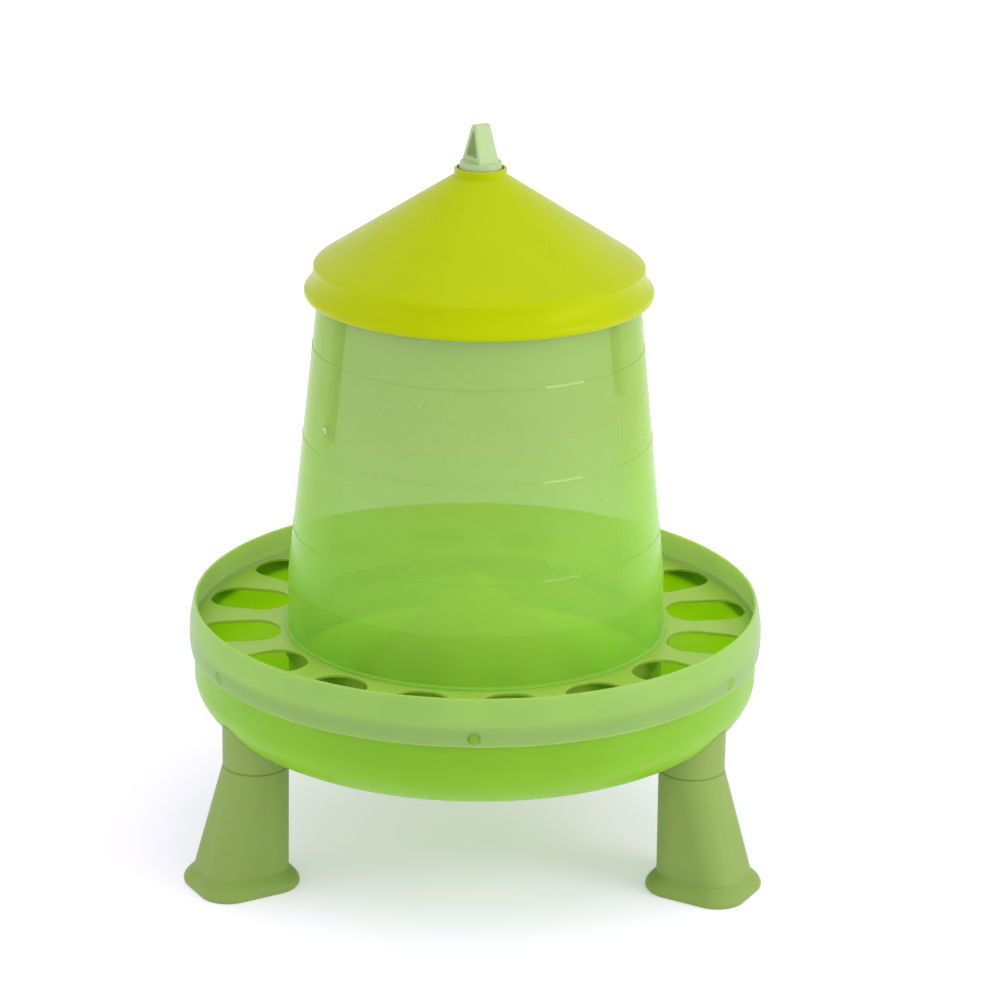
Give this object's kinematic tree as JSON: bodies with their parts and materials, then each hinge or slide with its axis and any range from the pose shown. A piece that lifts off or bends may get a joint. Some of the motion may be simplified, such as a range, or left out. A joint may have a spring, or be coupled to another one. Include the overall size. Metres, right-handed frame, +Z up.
{
  "type": "gravity poultry feeder",
  "caption": "Gravity feeder for hens: lidded translucent hopper over a spreader cone in a round pan, with a ring of feed holes, a hanging loop and push-on legs.",
  "frame": {"origin": "floor level, at the centre of the whole object's footprint; the feeder's own upright axis stands 9.9 mm in front of it (y = -0.0099), because the rear leg reaches further out than the ring does in front", "axes": "+Z up along the hopper, -Y is the front between the two front legs, +X to the right seen from the front"},
  "size_m": [0.3852, 0.4051, 0.4955],
  "materials": {
    "lid_plastic": "satin yellow-green moulded plastic",
    "handle_plastic": "translucent pale green plastic",
    "hopper_plastic": "translucent green plastic",
    "ring_plastic": "translucent pale green plastic",
    "pan_plastic": "satin bright green plastic",
    "cone_plastic": "satin yellow-green plastic",
    "leg_plastic": "satin olive green plastic",
    "screw_steel": "plated steel"
  },
  "bodies": {
    "pan": {"feed_pan": "pan_plastic", "feed_ring": "ring_plastic", "spreader_cone": "cone_plastic", "cone_screw": "screw_steel", "leg_socket_left": "leg_plastic", "leg_screw_left": "screw_steel", "leg_socket_right": "leg_plastic", "leg_screw_right": "screw_steel", "leg_socket_rear": "leg_plastic", "leg_screw_rear": "screw_steel"},
    "hopper": {"hopper": "hopper_plastic", "hanging_handle": "handle_plastic"},
    "lid": {"lid": "lid_plastic"},
    "leg_left": {"leg_left": "leg_plastic"},
    "leg_right": {"leg_right": "leg_plastic"},
    "leg_rear": {"leg_rear": "leg_plastic"}
  },
  "joints": [
    {"name": "hopper_turn", "type": "hinge", "parent": "pan", "child": "hopper", "pos_m": [0, -0.0099, 0.1445], "axis": [0, 0, 1], "range_deg": [0, 20]},
    {"name": "lid_lift", "type": "slide", "parent": "hopper", "child": "lid", "axis": [0, 0, 1], "range_m": [0, 0.12]},
    {"name": "leg_left_pull", "type": "slide", "parent": "pan", "child": "leg_left", "axis": [0, 0, -1], "range_m": [0, 0.022]},
    {"name": "leg_right_pull", "type": "slide", "parent": "pan", "child": "leg_right", "axis": [0, 0, -1], "range_m": [0, 0.022]},
    {"name": "leg_rear_pull", "type": "slide", "parent": "pan", "child": "leg_rear", "axis": [0, 0, -1], "range_m": [0, 0.022]}
  ]
}
